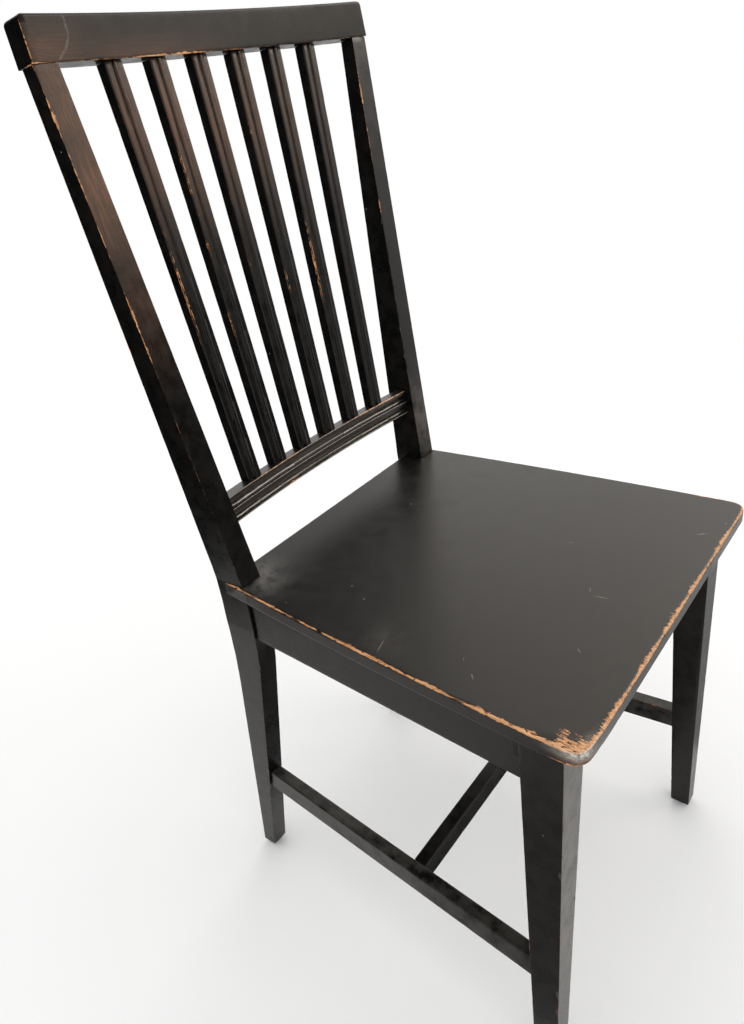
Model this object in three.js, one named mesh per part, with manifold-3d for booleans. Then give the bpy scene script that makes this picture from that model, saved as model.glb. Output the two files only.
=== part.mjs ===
// Painted slat-back dining chair with a moulded back rail and an H-stretcher, in millimetres.
// +Z is up, the floor is z = 0, the front of the seat faces -Y, and left (+X) and right are the sitter's.

import * as THREE from 'three';
import { mergeVertices } from 'three/addons/utils/BufferGeometryUtils.js';
import Module from 'manifold-3d';

const wasm = await Module();
wasm.setup();

// Clearances
const touchGap = 0.3;
const jointClearance = 0.3;

// Raked back: its own frame starts at the posts' front face at the height of the seat
const backRake = THREE.MathUtils.degToRad(9.34);
const backStartY = 167.3;
const backHeight = 510.6;

// Seat panel, its sides bowed outwards a little
const seatTop = 457;
const seatThickness = 16;
const seatDepth = 387.3;
const seatBehindPosts = 26.7;
const seatFrontHalfWidth = 216.5;
const seatBackHalfWidth = 186;
const seatSideBow = 3;
const seatCornerRadius = 20;
const seatEdgeRound = 2.5;
const seatBottom = seatTop - seatThickness;
const seatFrontY = backStartY - seatDepth;
const seatBackY = backStartY + seatBehindPosts;

// Rear legs, each one piece from the floor to the crest rail
const rearFootSetback = 64.5;
const rearFootFrontY = backStartY + rearFootSetback;
const rearFootDepth = 18;
const rearLegRake = THREE.MathUtils.degToRad(10.4);
const rearLegBackRake = THREE.MathUtils.degToRad(7.46);
const postTopDepth = 17;
const postBackRake = THREE.MathUtils.degToRad(6.87);
const kneeFrontDrop = 112;
const kneeFrontLow = seatTop - kneeFrontDrop;
const kneeBackDrop = 147;
const kneeBackLow = seatTop - kneeBackDrop;
const kneeBackRise = 13;
const kneeBackHigh = seatTop + kneeBackRise;
const rearStraightDrop = 57;
const rearStraightLow = seatTop - rearStraightDrop;
const seatOverhangRear = 2.7;
const rearSeatOuter = seatBackHalfWidth - seatOverhangRear;
const rearFootSplay = 22.6;
const rearFootOuter = rearSeatOuter - rearFootSplay;
const rearTopSplay = 39.5;
const rearTopOuter = rearSeatOuter + rearTopSplay;
const rearFootWidth = 20.9;
const rearSeatWidth = 26.7;
const rearTopWidth = 23.8;

// Front legs, tapered on their inner faces
const seatOverhangFront = 21.1;
const seatOverhangSide = 12.1;
const frontLegY = seatFrontY + seatOverhangFront;
const frontFootSetback = 0.8;
const frontFootY = frontLegY + frontFootSetback;
const frontLegOuter = seatFrontHalfWidth - seatOverhangSide;
const frontFootSplay = 5.9;
const frontFootOuter = frontLegOuter + frontFootSplay;
const frontLegWidth = 39.6;
const frontFootWidth = 20.6;
const frontFootDepth = 22.4;

// Feet
const footChamfer = 2.5;
const glideHeight = 2.5;
const glideRadius = 7;
const glideEdge = 0.8;
const glidePinRadius = 1.4;
const glidePinLength = 14;
const glidePinTip = 1;
const glideSegments = 16;

// Crest rail, bowed backwards in the middle
const crestHeight = 37.5;
const crestDepth = 23;
const crestProud = 2.3;
const crestOverhang = 1;
const crestHalfLength = rearTopOuter + crestOverhang;
const crestCornerRadius = 6;
const crestTopRound = 3;
const crestBottomRound = 1;
const crestBow = 11.6;
const postTenonWidth = 14;
const postTenonDepth = 9;
const postTenonLength = 22;
const postTenonRoot = 9;

// Lower back rail: a band along its top, then two noses below hollow coves
const railHigh = 93.2;
const railSetback = 6.5;
const railDepth = 16.5;
const railBow = 10.4;
const railTopRound = 1;
const railBandHeight = 5.3;
const railBandSlant = 1.5;
const railNoseCount = 2;
const railNosePitch = 14;
const railNoseHeight = 6.8;
const railNoseSlant = 2.5;
const railNoseRound = 1;
const railCoveDepth = 6;
const railCoveLip = 0.6;
const railUnderDepth = 5.3;
const railUnderHeight = 3.8;
const railLow = railHigh - railNoseCount * railNosePitch - railUnderHeight;
const railTenonLength = 16;
const railTenonRoot = 6;
const railTenonHeight = 18;
const railTenonThickness = 7;

// Back slats
const slatCount = 6;
const slatWidth = 20;
const slatDepth = 12.6;
const slatPitchLow = 44.6;
const slatPitchHigh = 53.7;
const slatSetbackLow = 9.2;
const slatSetbackHigh = 4.3;
const slatEdgeRound = 1.2;
const beadWidth = 5.6;
const beadProud = 2;
const slatTenonWidth = 10;
const slatTenonDepth = 5;
const slatTenonLength = 8;

// Aprons
const apronHeight = 50.7;
const apronThickness = 19;
const apronReveal = 3;
const apronRearReveal = 2.8;
const apronRearOuter = rearSeatOuter - apronRearReveal;
const apronTenonLength = 13;
const apronTenonThickness = 8;
const apronTenonShoulder = 8;
const backApronSetback = 6;

// Stretchers
const stretcherTop = 159.1;
const stretcherHeight = 25.7;
const stretcherThickness = 15.2;
const stretcherRearInset = 5.2;
const stretcherRearOuter = rearFootOuter + stretcherRearInset;
const stretcherRearSetback = 40;
const stretcherRearY = backStartY + stretcherRearSetback;
const stretcherFrontReveal = 2.4;
const stretcherFrontOuter = frontLegOuter - stretcherFrontReveal;
const stretcherFrontSetback = 15;
const stretcherFrontY = frontLegY + stretcherFrontSetback;
const stretcherTenonLength = 9;
const stretcherTenonThickness = 7;
const stretcherTenonShoulder = 5;
const crossStretcherSetback = 205.7;
const crossStretcherY = seatFrontY + crossStretcherSetback;

// Corner blocks and their screws
const blockHeight = 34;
const frontBlockLeg = 72;
const rearBlockLeg = 58;
const blockDrop = 3;
const screwHeadRadius = 4;
const screwHeadHeight = 2.4;
const screwShankRadius = 2;
const blockScrewLength = 34;
const seatScrewLength = 42;
const screwTip = 3;
const screwSegments = 12;

// Where a block's screws stand, as shares of the block's leg
const blockScrewInset = 0.62;
const seatScrewInset = 0.4;

// Paint
const paint = 0x2b2927;
const wornPaint = 0x3a3430;
const bareSteel = 0x8d8b86;
const glidePlastic = 0x1d1c1b;

// Facets in a quarter turn or a short curve, and along a bowed rail
const curveSegments = 4;
const sweepStep = 25;

// What cutting shapes reach past the piece that they cut, and past the whole chair
const margin = 1;
const farX = 300;
const farY = 300;
const farZ = 1100;

const sideSigns = { right: -1, left: 1 };
const stretcherBottom = stretcherTop - stretcherHeight;

// A closed solid from a three.js geometry
function solidFrom(geometry) {
  const bare = geometry.index ? geometry.toNonIndexed() : geometry.clone();
  bare.deleteAttribute('normal');
  bare.deleteAttribute('uv');
  const merged = mergeVertices(bare, 1e-4);
  const vertProperties = new Float32Array(merged.attributes.position.array);
  const triVerts = new Uint32Array(merged.index.array);
  return new wasm.Manifold(new wasm.Mesh({ numProp: 3, vertProperties, triVerts }));
}

// The three.js geometry of a solid
function geometryFrom(solid) {
  const mesh = solid.getMesh();
  const geometry = new THREE.BufferGeometry();
  geometry.setAttribute('position', new THREE.BufferAttribute(mesh.vertProperties, 3));
  geometry.setIndex(new THREE.BufferAttribute(mesh.triVerts, 1));
  const flat = geometry.toNonIndexed();
  flat.computeVertexNormals();
  return flat;
}

// The main body of a solid that cuts have left in several
function largestOf(solid) {
  return solid.decompose().sort((a, b) => b.volume() - a.volume())[0];
}

// An outline given in X and Y, raised from z = low to z = high
function prismZ(points, low, high) {
  const shape = new THREE.Shape(points.map(([x, y]) => new THREE.Vector2(x, y)));
  const geometry = new THREE.ExtrudeGeometry(shape, { depth: high - low, bevelEnabled: false });
  geometry.translate(0, 0, low);
  return geometry;
}

// A shape drawn in Y and Z, carried along X in equal steps
function prismX(shape, low, high, steps = 1) {
  const depth = high - low;
  const geometry = new THREE.ExtrudeGeometry(shape, { depth, steps, curveSegments, bevelEnabled: false });
  const turn = new THREE.Matrix4().makeBasis(
    new THREE.Vector3(0, 1, 0),
    new THREE.Vector3(0, 0, 1),
    new THREE.Vector3(1, 0, 0),
  );
  geometry.applyMatrix4(turn);
  geometry.translate(low, 0, 0);
  return geometry;
}

// A shape drawn in X and Z, carried along Y
function prismY(shape, low, high) {
  const depth = high - low;
  const geometry = new THREE.ExtrudeGeometry(shape, { depth, curveSegments, bevelEnabled: false });
  const turn = new THREE.Matrix4().makeBasis(
    new THREE.Vector3(1, 0, 0),
    new THREE.Vector3(0, 0, 1),
    new THREE.Vector3(0, -1, 0),
  );
  geometry.applyMatrix4(turn);
  geometry.translate(0, high, 0);
  return geometry;
}

function boxBetween(low, high) {
  const size = new THREE.Vector3().subVectors(high, low);
  const geometry = new THREE.BoxGeometry(size.x, size.y, size.z);
  geometry.translate(...new THREE.Vector3().addVectors(low, high).multiplyScalar(0.5).toArray());
  return geometry;
}

function shapeThrough(points) {
  return new THREE.Shape(points.map(([x, y]) => new THREE.Vector2(x, y)));
}

// Moves each vertex by a rule of its place
function displaced(geometry, rule) {
  const position = geometry.attributes.position;
  const point = new THREE.Vector3();
  for (let i = 0; i < position.count; i += 1) {
    point.fromBufferAttribute(position, i);
    rule(point);
    position.setXYZ(i, point.x, point.y, point.z);
  }
  return geometry;
}

// The back's own frame: X across, Y backwards and Z up the rake
const backFrame = new THREE.Matrix4()
  .makeTranslation(0, backStartY, seatTop)
  .multiply(new THREE.Matrix4().makeRotationX(-backRake));

// How far a bowed rail lies behind the line of its ends
function bowAt(x, depth, halfSpan) {
  return depth * (1 - (x / halfSpan) ** 2);
}

// Rear leg: its side view and its front view, each cut through the other
const postFrontSlope = Math.tan(backRake);
const postTopZ = seatTop + backHeight * Math.cos(backRake);
const postTopY = backStartY + backHeight * Math.sin(backRake);
const legFrontSlope = Math.tan(rearLegRake);
const legBackSlope = Math.tan(rearLegBackRake);
const postBackSlope = Math.tan(postBackRake);

// Y of the rear leg's front face below the knee, and of the post's above it
const legFrontY = (z) => rearFootFrontY - z * legFrontSlope;
const postFrontY = (z) => backStartY + (z - seatTop) * postFrontSlope;
const legBackY = (z) => rearFootFrontY + rearFootDepth - z * legBackSlope;
const postBackY = (z) => postTopY + postTopDepth - (postTopZ - z) * postBackSlope;

// Where two straight runs of the side view meet
function crossing(yLow, yHigh) {
  const slopeLow = yLow(1) - yLow(0);
  const slopeHigh = yHigh(1) - yHigh(0);
  const z = (yLow(0) - yHigh(0)) / (slopeHigh - slopeLow);
  return [yLow(z), z];
}

const postExtra = 40;

function rearSideView(grow) {
  const shape = new THREE.Shape();
  const floor = grow > 0 ? 0 : glideHeight;
  const high = postTopZ + postExtra;
  const [frontBendY, frontBendZ] = crossing(legFrontY, postFrontY);
  const [backBendY, backBendZ] = crossing(legBackY, postBackY);
  const chamfer = grow > 0 ? 0 : footChamfer;
  shape.moveTo(legFrontY(floor) - grow + chamfer, floor);
  shape.lineTo(legBackY(floor) + grow - chamfer, floor);
  shape.lineTo(legBackY(floor + chamfer) + grow, floor + chamfer);
  shape.lineTo(legBackY(kneeBackLow) + grow, kneeBackLow);
  shape.quadraticCurveTo(backBendY + grow, backBendZ, postBackY(kneeBackHigh) + grow, kneeBackHigh);
  shape.lineTo(postBackY(high) + grow, high);
  shape.lineTo(postFrontY(high) - grow, high);
  shape.lineTo(postFrontY(seatTop) - grow, seatTop);
  shape.quadraticCurveTo(frontBendY - grow, frontBendZ, legFrontY(kneeFrontLow) - grow, kneeFrontLow);
  shape.lineTo(legFrontY(floor + chamfer) - grow, floor + chamfer);
  return shape;
}

// Outer and inner face of the rear leg at the floor, the seat and the crest rail
const rearOuterSlope = (rearTopOuter - rearSeatOuter) / (postTopZ - seatTop);
const rearTopInner = rearTopOuter - rearTopWidth;
const rearSeatInner = rearSeatOuter - rearSeatWidth;
const rearInnerSlope = (rearTopInner - rearSeatInner) / (postTopZ - seatTop);

const between = (low, high, share) => low + (high - low) * share;
const rearOuterAt = (z) => between(rearFootOuter, rearSeatOuter, z / rearStraightLow);
const rearInnerAt = (z) => between(rearFootOuter - rearFootWidth, rearSeatInner, z / rearStraightLow);

function rearFrontView(side, grow) {
  const floor = grow > 0 ? 0 : glideHeight;
  const chamfer = grow > 0 ? 0 : footChamfer;
  const outerSeat = rearSeatOuter + grow;
  const innerSeat = rearSeatInner - grow;
  const points = [
    [rearOuterAt(floor) + grow - chamfer, floor],
    [rearOuterAt(floor + chamfer) + grow, floor + chamfer],
    [outerSeat, rearStraightLow],
    [outerSeat, seatTop],
    [rearTopOuter + grow + postExtra * rearOuterSlope, postTopZ + postExtra],
    [rearTopInner - grow + postExtra * rearInnerSlope, postTopZ + postExtra],
    [innerSeat, seatTop],
    [innerSeat, rearStraightLow],
    [rearInnerAt(floor + chamfer) - grow, floor + chamfer],
    [rearInnerAt(floor) - grow + chamfer, floor],
  ];
  return shapeThrough(points.map(([x, z]) => [side * x, z]));
}

function rearLegBlank(side, grow) {
  const sideView = solidFrom(prismX(rearSideView(grow), -farX, farX));
  const frontView = solidFrom(prismY(rearFrontView(side, grow), -farY, farY));
  return sideView.intersect(frontView);
}

// Everything under the crest rail, in the back's frame
function belowCrest(gap) {
  const under = boxBetween(
    new THREE.Vector3(-farX, -farY, -farZ),
    new THREE.Vector3(farX, farY, backHeight - gap),
  );
  return solidFrom(under.applyMatrix4(backFrame));
}

// Middle of a post's top, in the back's frame
const postTopMiddleX = rearTopOuter - rearTopWidth / 2;
const postTopMiddleY = postTopDepth / 2 * Math.cos(backRake);

function postTenon(side, grow) {
  const middle = new THREE.Vector3(side * postTopMiddleX, postTopMiddleY, backHeight);
  const half = new THREE.Vector3(postTenonWidth / 2 + grow, postTenonDepth / 2 + grow, 0);
  const low = middle.clone().sub(half);
  const high = middle.clone().add(half);
  low.z -= postTenonRoot;
  high.z += postTenonLength + grow;
  return boxBetween(low, high);
}

// Front leg: its two views, each cut through the other
const frontTop = seatBottom;
const frontLegInner = frontLegOuter - frontLegWidth;
const frontLegBackY = frontLegY + frontLegWidth;

const frontOuterAt = (z) => between(frontFootOuter, frontLegOuter, z / frontTop);
const frontInnerAt = (z) => between(frontFootOuter - frontFootWidth, frontLegInner, z / frontTop);
const frontFaceAt = (z) => between(frontFootY, frontLegY, z / frontTop);
const frontBackAt = (z) => between(frontFootY + frontFootDepth, frontLegBackY, z / frontTop);

function frontLegBlank(side, grow) {
  const floor = grow > 0 ? 0 : glideHeight;
  const chamfer = grow > 0 ? 0 : footChamfer;
  const top = frontTop + (grow > 0 ? seatThickness : 0);
  const above = floor + chamfer;
  const frontView = shapeThrough([
    [side * (frontOuterAt(floor) + grow - chamfer), floor],
    [side * (frontOuterAt(above) + grow), above],
    [side * (frontOuterAt(top) + grow), top],
    [side * (frontInnerAt(top) - grow), top],
    [side * (frontInnerAt(above) - grow), above],
    [side * (frontInnerAt(floor) - grow + chamfer), floor],
  ]);
  const sideView = shapeThrough([
    [frontFaceAt(floor) - grow + chamfer, floor],
    [frontBackAt(floor) + grow - chamfer, floor],
    [frontBackAt(above) + grow, above],
    [frontBackAt(top) + grow, top],
    [frontFaceAt(top) - grow, top],
    [frontFaceAt(above) - grow, above],
  ]);
  const across = solidFrom(prismX(sideView, -farX, farX));
  return across.intersect(solidFrom(prismY(frontView, -farY, farY)));
}

// A bar from a rear to a front leg: its outer face runs straight between two places
function sideBar(side, line, inset, low, high, rearY, frontY) {
  const slope = (line.frontOuter - line.rearOuter) / (line.frontY - line.rearY);
  const outerAt = (y) => line.rearOuter + (y - line.rearY) * slope - inset;
  const innerAt = (y) => outerAt(y) + 2 * inset - line.thickness;
  const points = [
    [side * outerAt(rearY), rearY],
    [side * outerAt(frontY), frontY],
    [side * innerAt(frontY), frontY],
    [side * innerAt(rearY), rearY],
  ];
  return solidFrom(prismZ(points, low, high));
}

// A bar across the chair
function crossBar(frontFaceY, thickness, inset, low, high, halfLength) {
  return solidFrom(boxBetween(
    new THREE.Vector3(-halfLength, frontFaceY + inset, low),
    new THREE.Vector3(halfLength, frontFaceY + thickness - inset, high),
  ));
}

const apronTop = seatBottom;
const apronBottom = apronTop - apronHeight;
const apronLine = {
  rearOuter: apronRearOuter,
  rearY: backStartY,
  frontOuter: frontLegOuter - apronReveal,
  frontY: frontLegBackY,
  thickness: apronThickness,
};
const stretcherLine = {
  rearOuter: stretcherRearOuter,
  rearY: stretcherRearY,
  frontOuter: stretcherFrontOuter,
  frontY: stretcherFrontY,
  thickness: stretcherThickness,
};
const frontApronY = frontLegY + apronReveal;
const backApronY = postFrontY(seatTop) + backApronSetback;

const apronTenonLow = apronBottom + apronTenonShoulder;
const apronTenonHigh = apronTop - apronTenonShoulder;
const apronTenonInset = (apronThickness - apronTenonThickness) / 2;
const stretcherTenonLow = stretcherBottom + stretcherTenonShoulder;
const stretcherTenonHigh = stretcherTop - stretcherTenonShoulder;
const stretcherTenonInset = (stretcherThickness - stretcherTenonThickness) / 2;

// Where the rear leg's front face stands at the height of a bar: the knee is the furthest forward
const rearFaceAtApron = crossing(legFrontY, postFrontY)[0];
const rearFaceAtStretcher = legFrontY(stretcherTop);

function sideApronTenons(side, grow) {
  return sideBar(
    side,
    apronLine,
    apronTenonInset - grow,
    apronTenonLow - grow,
    apronTenonHigh + grow,
    rearFaceAtApron + apronTenonLength + grow,
    frontLegBackY - apronTenonLength - grow,
  );
}

function sideStretcherTenons(side, grow) {
  return sideBar(
    side,
    stretcherLine,
    stretcherTenonInset - grow,
    stretcherTenonLow - grow,
    stretcherTenonHigh + grow,
    rearFaceAtStretcher + stretcherTenonLength + grow,
    frontBackAt(stretcherBottom) - stretcherTenonLength - grow,
  );
}

// The cross bars' tenons stop short of the side bars' tenons
function frontApronTenons(grow) {
  const half = frontLegInner + apronTenonLength / 2 + grow;
  const inset = apronTenonInset - grow;
  return crossBar(frontApronY, apronThickness, inset, apronTenonLow - grow, apronTenonHigh + grow, half);
}

function backApronTenons(grow) {
  const half = rearSeatInner + apronTenonLength / 2 + grow;
  const inset = apronTenonInset - grow;
  return crossBar(backApronY, apronThickness, inset, apronTenonLow - grow, apronTenonHigh + grow, half);
}

const stretcherSlope = (stretcherFrontOuter - stretcherRearOuter) / (stretcherFrontY - stretcherRearY);
const crossEnd = stretcherRearOuter + (crossStretcherY - stretcherRearY) * stretcherSlope - stretcherThickness;

function crossStretcherTenons(grow) {
  const inset = stretcherTenonInset - grow;
  const half = crossEnd + stretcherTenonLength + grow;
  const low = stretcherTenonLow - grow;
  const high = stretcherTenonHigh + grow;
  return crossBar(crossStretcherY - stretcherThickness, stretcherThickness, inset, low, high, half);
}

// Crest rail: a section with rounded edges carried across, bowed, and cut to round corners
function roundedSection(depth, low, high, lowRound, highRound) {
  const shape = new THREE.Shape();
  shape.moveTo(lowRound, low);
  shape.lineTo(depth - lowRound, low);
  shape.quadraticCurveTo(depth, low, depth, low + lowRound);
  shape.lineTo(depth, high - highRound);
  shape.absarc(depth - highRound, high - highRound, highRound, 0, Math.PI / 2, false);
  shape.lineTo(highRound, high);
  shape.absarc(highRound, high - highRound, highRound, Math.PI / 2, Math.PI, false);
  shape.lineTo(0, low + lowRound);
  shape.quadraticCurveTo(0, low, lowRound, low);
  return shape;
}

// A rectangle with two rounded upper corners, drawn in X and Z
function crestFrontView() {
  const shape = new THREE.Shape();
  const top = backHeight + crestHeight;
  shape.moveTo(-crestHalfLength, backHeight);
  shape.lineTo(crestHalfLength, backHeight);
  shape.lineTo(crestHalfLength, top - crestCornerRadius);
  shape.absarc(crestHalfLength - crestCornerRadius, top - crestCornerRadius, crestCornerRadius, 0, Math.PI / 2);
  shape.lineTo(crestCornerRadius - crestHalfLength, top);
  shape.absarc(
    crestCornerRadius - crestHalfLength,
    top - crestCornerRadius,
    crestCornerRadius,
    Math.PI / 2,
    Math.PI,
  );
  return shape;
}

function makeCrestRail() {
  const top = backHeight + crestHeight;
  const section = roundedSection(crestDepth, backHeight, top, crestBottomRound, crestTopRound);
  const steps = Math.ceil(2 * crestHalfLength / sweepStep);
  const board = prismX(section, -crestHalfLength - margin, crestHalfLength + margin, steps);
  displaced(board, (point) => {
    point.y += bowAt(point.x, crestBow, crestHalfLength) - crestProud;
  });
  let rail = solidFrom(board).intersect(solidFrom(prismY(crestFrontView(), -farY, farY)));
  for (const side of Object.values(sideSigns)) {
    rail = rail.subtract(solidFrom(postTenon(side, jointClearance)));
  }
  for (const slat of slatPlaces()) {
    rail = rail.subtract(solidFrom(slatTenons(slat, jointClearance)));
  }
  return rail;
}

// Lower back rail: each face slants back to a cove, which sweeps out to the nose below it
function railSection() {
  const shape = new THREE.Shape();
  shape.moveTo(railDepth, railLow);
  shape.lineTo(railDepth, railHigh);
  shape.lineTo(railTopRound, railHigh);
  shape.quadraticCurveTo(0, railHigh, 0, railHigh - railTopRound);
  let slant = railBandSlant;
  let faceLow = railHigh - railBandHeight;
  for (let order = 1; order <= railNoseCount; order += 1) {
    const nose = railHigh - order * railNosePitch;
    // The curve goes half as deep as the point that pulls it
    const pull = 2 * railCoveDepth - slant / 2;
    shape.lineTo(slant, faceLow);
    shape.quadraticCurveTo(pull, nose + railCoveLip, railNoseRound, nose);
    shape.quadraticCurveTo(0, nose, 0, nose - railNoseRound);
    slant = railNoseSlant;
    faceLow = nose - railNoseHeight;
  }
  shape.lineTo(railUnderDepth, railLow);
  return shape;
}

const railFrame = new THREE.Matrix4().copy(backFrame).invert();

// Half length of the lower rail between the posts, at its middle height
const railMiddle = (railLow + railHigh) / 2;
const railHalfLength = rearSeatInner + railMiddle * Math.cos(backRake) * rearInnerSlope;

function makeLowerRail() {
  const reach = railHalfLength + railTenonLength;
  const steps = Math.ceil(2 * reach / sweepStep);
  const board = prismX(railSection(), -reach, reach, steps);
  displaced(board, (point) => {
    point.y += bowAt(point.x, railBow, railHalfLength) + railSetback;
  });
  let rail = solidFrom(board);
  for (const side of Object.values(sideSigns)) {
    const post = geometryFrom(rearLegBlank(side, touchGap)).applyMatrix4(railFrame);
    rail = rail.subtract(solidFrom(post));
  }
  rail = largestOf(rail);
  for (const side of Object.values(sideSigns)) {
    rail = rail.add(solidFrom(railTenon(side, 0)));
  }
  for (const slat of slatPlaces()) {
    rail = rail.subtract(solidFrom(slatTenons(slat, jointClearance)));
  }
  return rail;
}

// The tenon on one end of the rail, rooted behind its coves
function railTenon(side, grow) {
  const length = railTenonRoot + railTenonLength;
  const middle = new THREE.Vector3(
    side * (railHalfLength + (railTenonLength - railTenonRoot) / 2),
    railSetback + (railCoveDepth + railDepth) / 2,
    railMiddle,
  );
  const half = new THREE.Vector3(
    length / 2 + grow,
    railTenonThickness / 2 + grow,
    railTenonHeight / 2 + grow,
  );
  return boxBetween(middle.clone().sub(half), middle.clone().add(half));
}

// Where each slat leaves the lower rail and meets the crest rail
function slatPlaces() {
  return Array.from({ length: slatCount }, (_, index) => {
    const order = index - (slatCount - 1) / 2;
    const lowX = order * slatPitchLow;
    const highX = order * slatPitchHigh;
    return {
      lowX,
      highX,
      lowY: slatSetbackLow + bowAt(lowX, railBow, railHalfLength),
      highY: slatSetbackHigh + bowAt(highX, crestBow, crestHalfLength),
    };
  });
}

// Leans an upright bar so that it runs from its low to its high place
function leaned(geometry, slat) {
  const rise = backHeight - railHigh;
  return displaced(geometry, (point) => {
    const share = (point.z - railHigh) / rise;
    point.x += slat.lowX + (slat.highX - slat.lowX) * share;
    point.y += slat.lowY + (slat.highY - slat.lowY) * share;
  });
}

// A slat's section: flat front with one bead along its middle
function slatSection() {
  const half = slatWidth / 2;
  const bead = beadWidth / 2;
  const shape = new THREE.Shape();
  shape.moveTo(-half + slatEdgeRound, 0);
  shape.lineTo(-bead, 0);
  shape.quadraticCurveTo(-bead, -beadProud, 0, -beadProud);
  shape.quadraticCurveTo(bead, -beadProud, bead, 0);
  shape.lineTo(half - slatEdgeRound, 0);
  shape.lineTo(half, slatEdgeRound);
  shape.lineTo(half, slatDepth);
  shape.lineTo(-half, slatDepth);
  shape.lineTo(-half, slatEdgeRound);
  return shape;
}

function slatTenons(slat, grow) {
  const half = slatTenonWidth / 2 + grow;
  const front = (slatDepth - slatTenonDepth) / 2 - grow;
  const back = (slatDepth + slatTenonDepth) / 2 + grow;
  const low = new THREE.Vector3(-half, front, railHigh - slatTenonLength - grow);
  const high = new THREE.Vector3(half, back, backHeight + slatTenonLength + grow);
  return leaned(boxBetween(low, high), slat);
}

function makeSlat(slat) {
  const low = railHigh + touchGap;
  const high = backHeight - touchGap;
  const upright = new THREE.ExtrudeGeometry(slatSection(), {
    depth: high - low,
    bevelEnabled: false,
    curveSegments,
  });
  upright.translate(0, 0, low);
  return solidFrom(leaned(upright, slat)).add(solidFrom(slatTenons(slat, 0)));
}

// Seat panel: a trapezoid with round front corners and rounded edges, notched round the posts
function seatOutline() {
  const inner = seatEdgeRound;
  const front = seatFrontY + inner;
  const back = seatBackY - inner;
  const splay = (seatFrontHalfWidth - seatBackHalfWidth) / (backStartY - seatFrontY);
  const halfAt = (y) => seatBackHalfWidth + (backStartY - y) * splay - inner;
  const radius = seatCornerRadius - inner;
  const turnY = front + radius;
  const middleY = (back + turnY) / 2;
  const middleHalf = halfAt(middleY) + 2 * seatSideBow;
  const shape = new THREE.Shape();
  shape.moveTo(-halfAt(back), back);
  shape.quadraticCurveTo(-middleHalf, middleY, -halfAt(turnY), turnY);
  shape.quadraticCurveTo(-halfAt(front), front, radius - halfAt(front), front);
  shape.lineTo(halfAt(front) - radius, front);
  shape.quadraticCurveTo(halfAt(front), front, halfAt(turnY), turnY);
  shape.quadraticCurveTo(middleHalf, middleY, halfAt(back), back);
  return shape;
}

function makeSeat() {
  const panel = new THREE.ExtrudeGeometry(seatOutline(), {
    depth: seatThickness - 2 * seatEdgeRound,
    bevelEnabled: true,
    bevelSize: seatEdgeRound,
    bevelThickness: seatEdgeRound,
    bevelSegments: 3,
    curveSegments: 2 * curveSegments,
  });
  panel.translate(0, 0, seatBottom + seatEdgeRound);
  let seat = solidFrom(panel);
  for (const side of Object.values(sideSigns)) {
    seat = seat.subtract(rearLegBlank(side, touchGap));
  }
  seat = largestOf(seat);
  for (const corner of cornerPlaces()) {
    seat = seat.subtract(screwHole(seatScrewPlace(corner), seatScrewLength));
  }
  return seat;
}

// Corner blocks: a triangle against two aprons, cut clear of the leg
const apronSlope = (apronLine.frontOuter - apronLine.rearOuter) / (apronLine.frontY - apronLine.rearY);
const apronInnerAt = (y) => apronLine.rearOuter + (y - apronLine.rearY) * apronSlope - apronThickness;

function cornerPlaces() {
  const frontY = frontApronY + apronThickness + touchGap;
  const rearY = backApronY - touchGap;
  return [
    { name: 'front_left', side: 1, y: frontY, inward: 1, leg: frontBlockLeg },
    { name: 'front_right', side: -1, y: frontY, inward: 1, leg: frontBlockLeg },
    { name: 'rear_left', side: 1, y: rearY, inward: -1, leg: rearBlockLeg },
    { name: 'rear_right', side: -1, y: rearY, inward: -1, leg: rearBlockLeg },
  ];
}

const blockTop = seatBottom - blockDrop;
const blockMiddleZ = blockTop - blockHeight / 2;

function cornerBlockBlank({ side, y, inward, leg }) {
  const farEnd = y + inward * leg;
  const faceAt = (at) => side * (apronInnerAt(at) - touchGap);
  const points = [
    [faceAt(y), y],
    [faceAt(farEnd), farEnd],
    [faceAt(y) - side * leg, y],
  ];
  return solidFrom(prismZ(points, blockTop - blockHeight, seatBottom));
}

function makeCornerBlock(corner) {
  const legBlank = corner.inward > 0 ? frontLegBlank : rearLegBlank;
  let block = largestOf(cornerBlockBlank(corner).subtract(legBlank(corner.side, touchGap)));
  for (const place of blockScrewPlaces(corner)) {
    block = block.subtract(screwHole(place, blockScrewLength));
  }
  return block.subtract(screwHole(seatScrewPlace(corner), seatScrewLength));
}

// A screw's place: where its head's face lies, and the way its tip points
function blockScrewPlaces({ name, side, y, inward, leg }) {
  const along = leg * blockScrewInset;
  const wallX = side * apronInnerAt(y + inward * along);
  const headAway = leg - along + screwHeadHeight;
  return [
    {
      name: `block_screw_${name}_side`,
      at: new THREE.Vector3(wallX - side * headAway, y + inward * along, blockMiddleZ),
      way: new THREE.Vector3(side, 0, 0),
    },
    {
      name: `block_screw_${name}_end`,
      at: new THREE.Vector3(
        side * apronInnerAt(y) - side * along,
        y + inward * headAway,
        blockMiddleZ,
      ),
      way: new THREE.Vector3(0, -inward, 0),
    },
  ];
}

function seatScrewPlace({ name, side, y, inward, leg }) {
  const along = leg * seatScrewInset;
  const x = side * (apronInnerAt(y) - along);
  return {
    name: `seat_screw_${name}`,
    at: new THREE.Vector3(x, y + inward * along, blockTop - blockHeight - screwHeadHeight),
    way: new THREE.Vector3(0, 0, 1),
  };
}

// A screw along +Y from its head's face, turned on a lathe
function screwProfile(length, grow) {
  return [
    [0, -grow],
    [screwHeadRadius + grow, -grow],
    [screwHeadRadius + grow, screwHeadHeight],
    [screwShankRadius + grow, screwHeadHeight],
    [screwShankRadius + grow, length - screwTip],
    [0, length + grow],
  ].map(([radius, height]) => new THREE.Vector2(radius, height));
}

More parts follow.
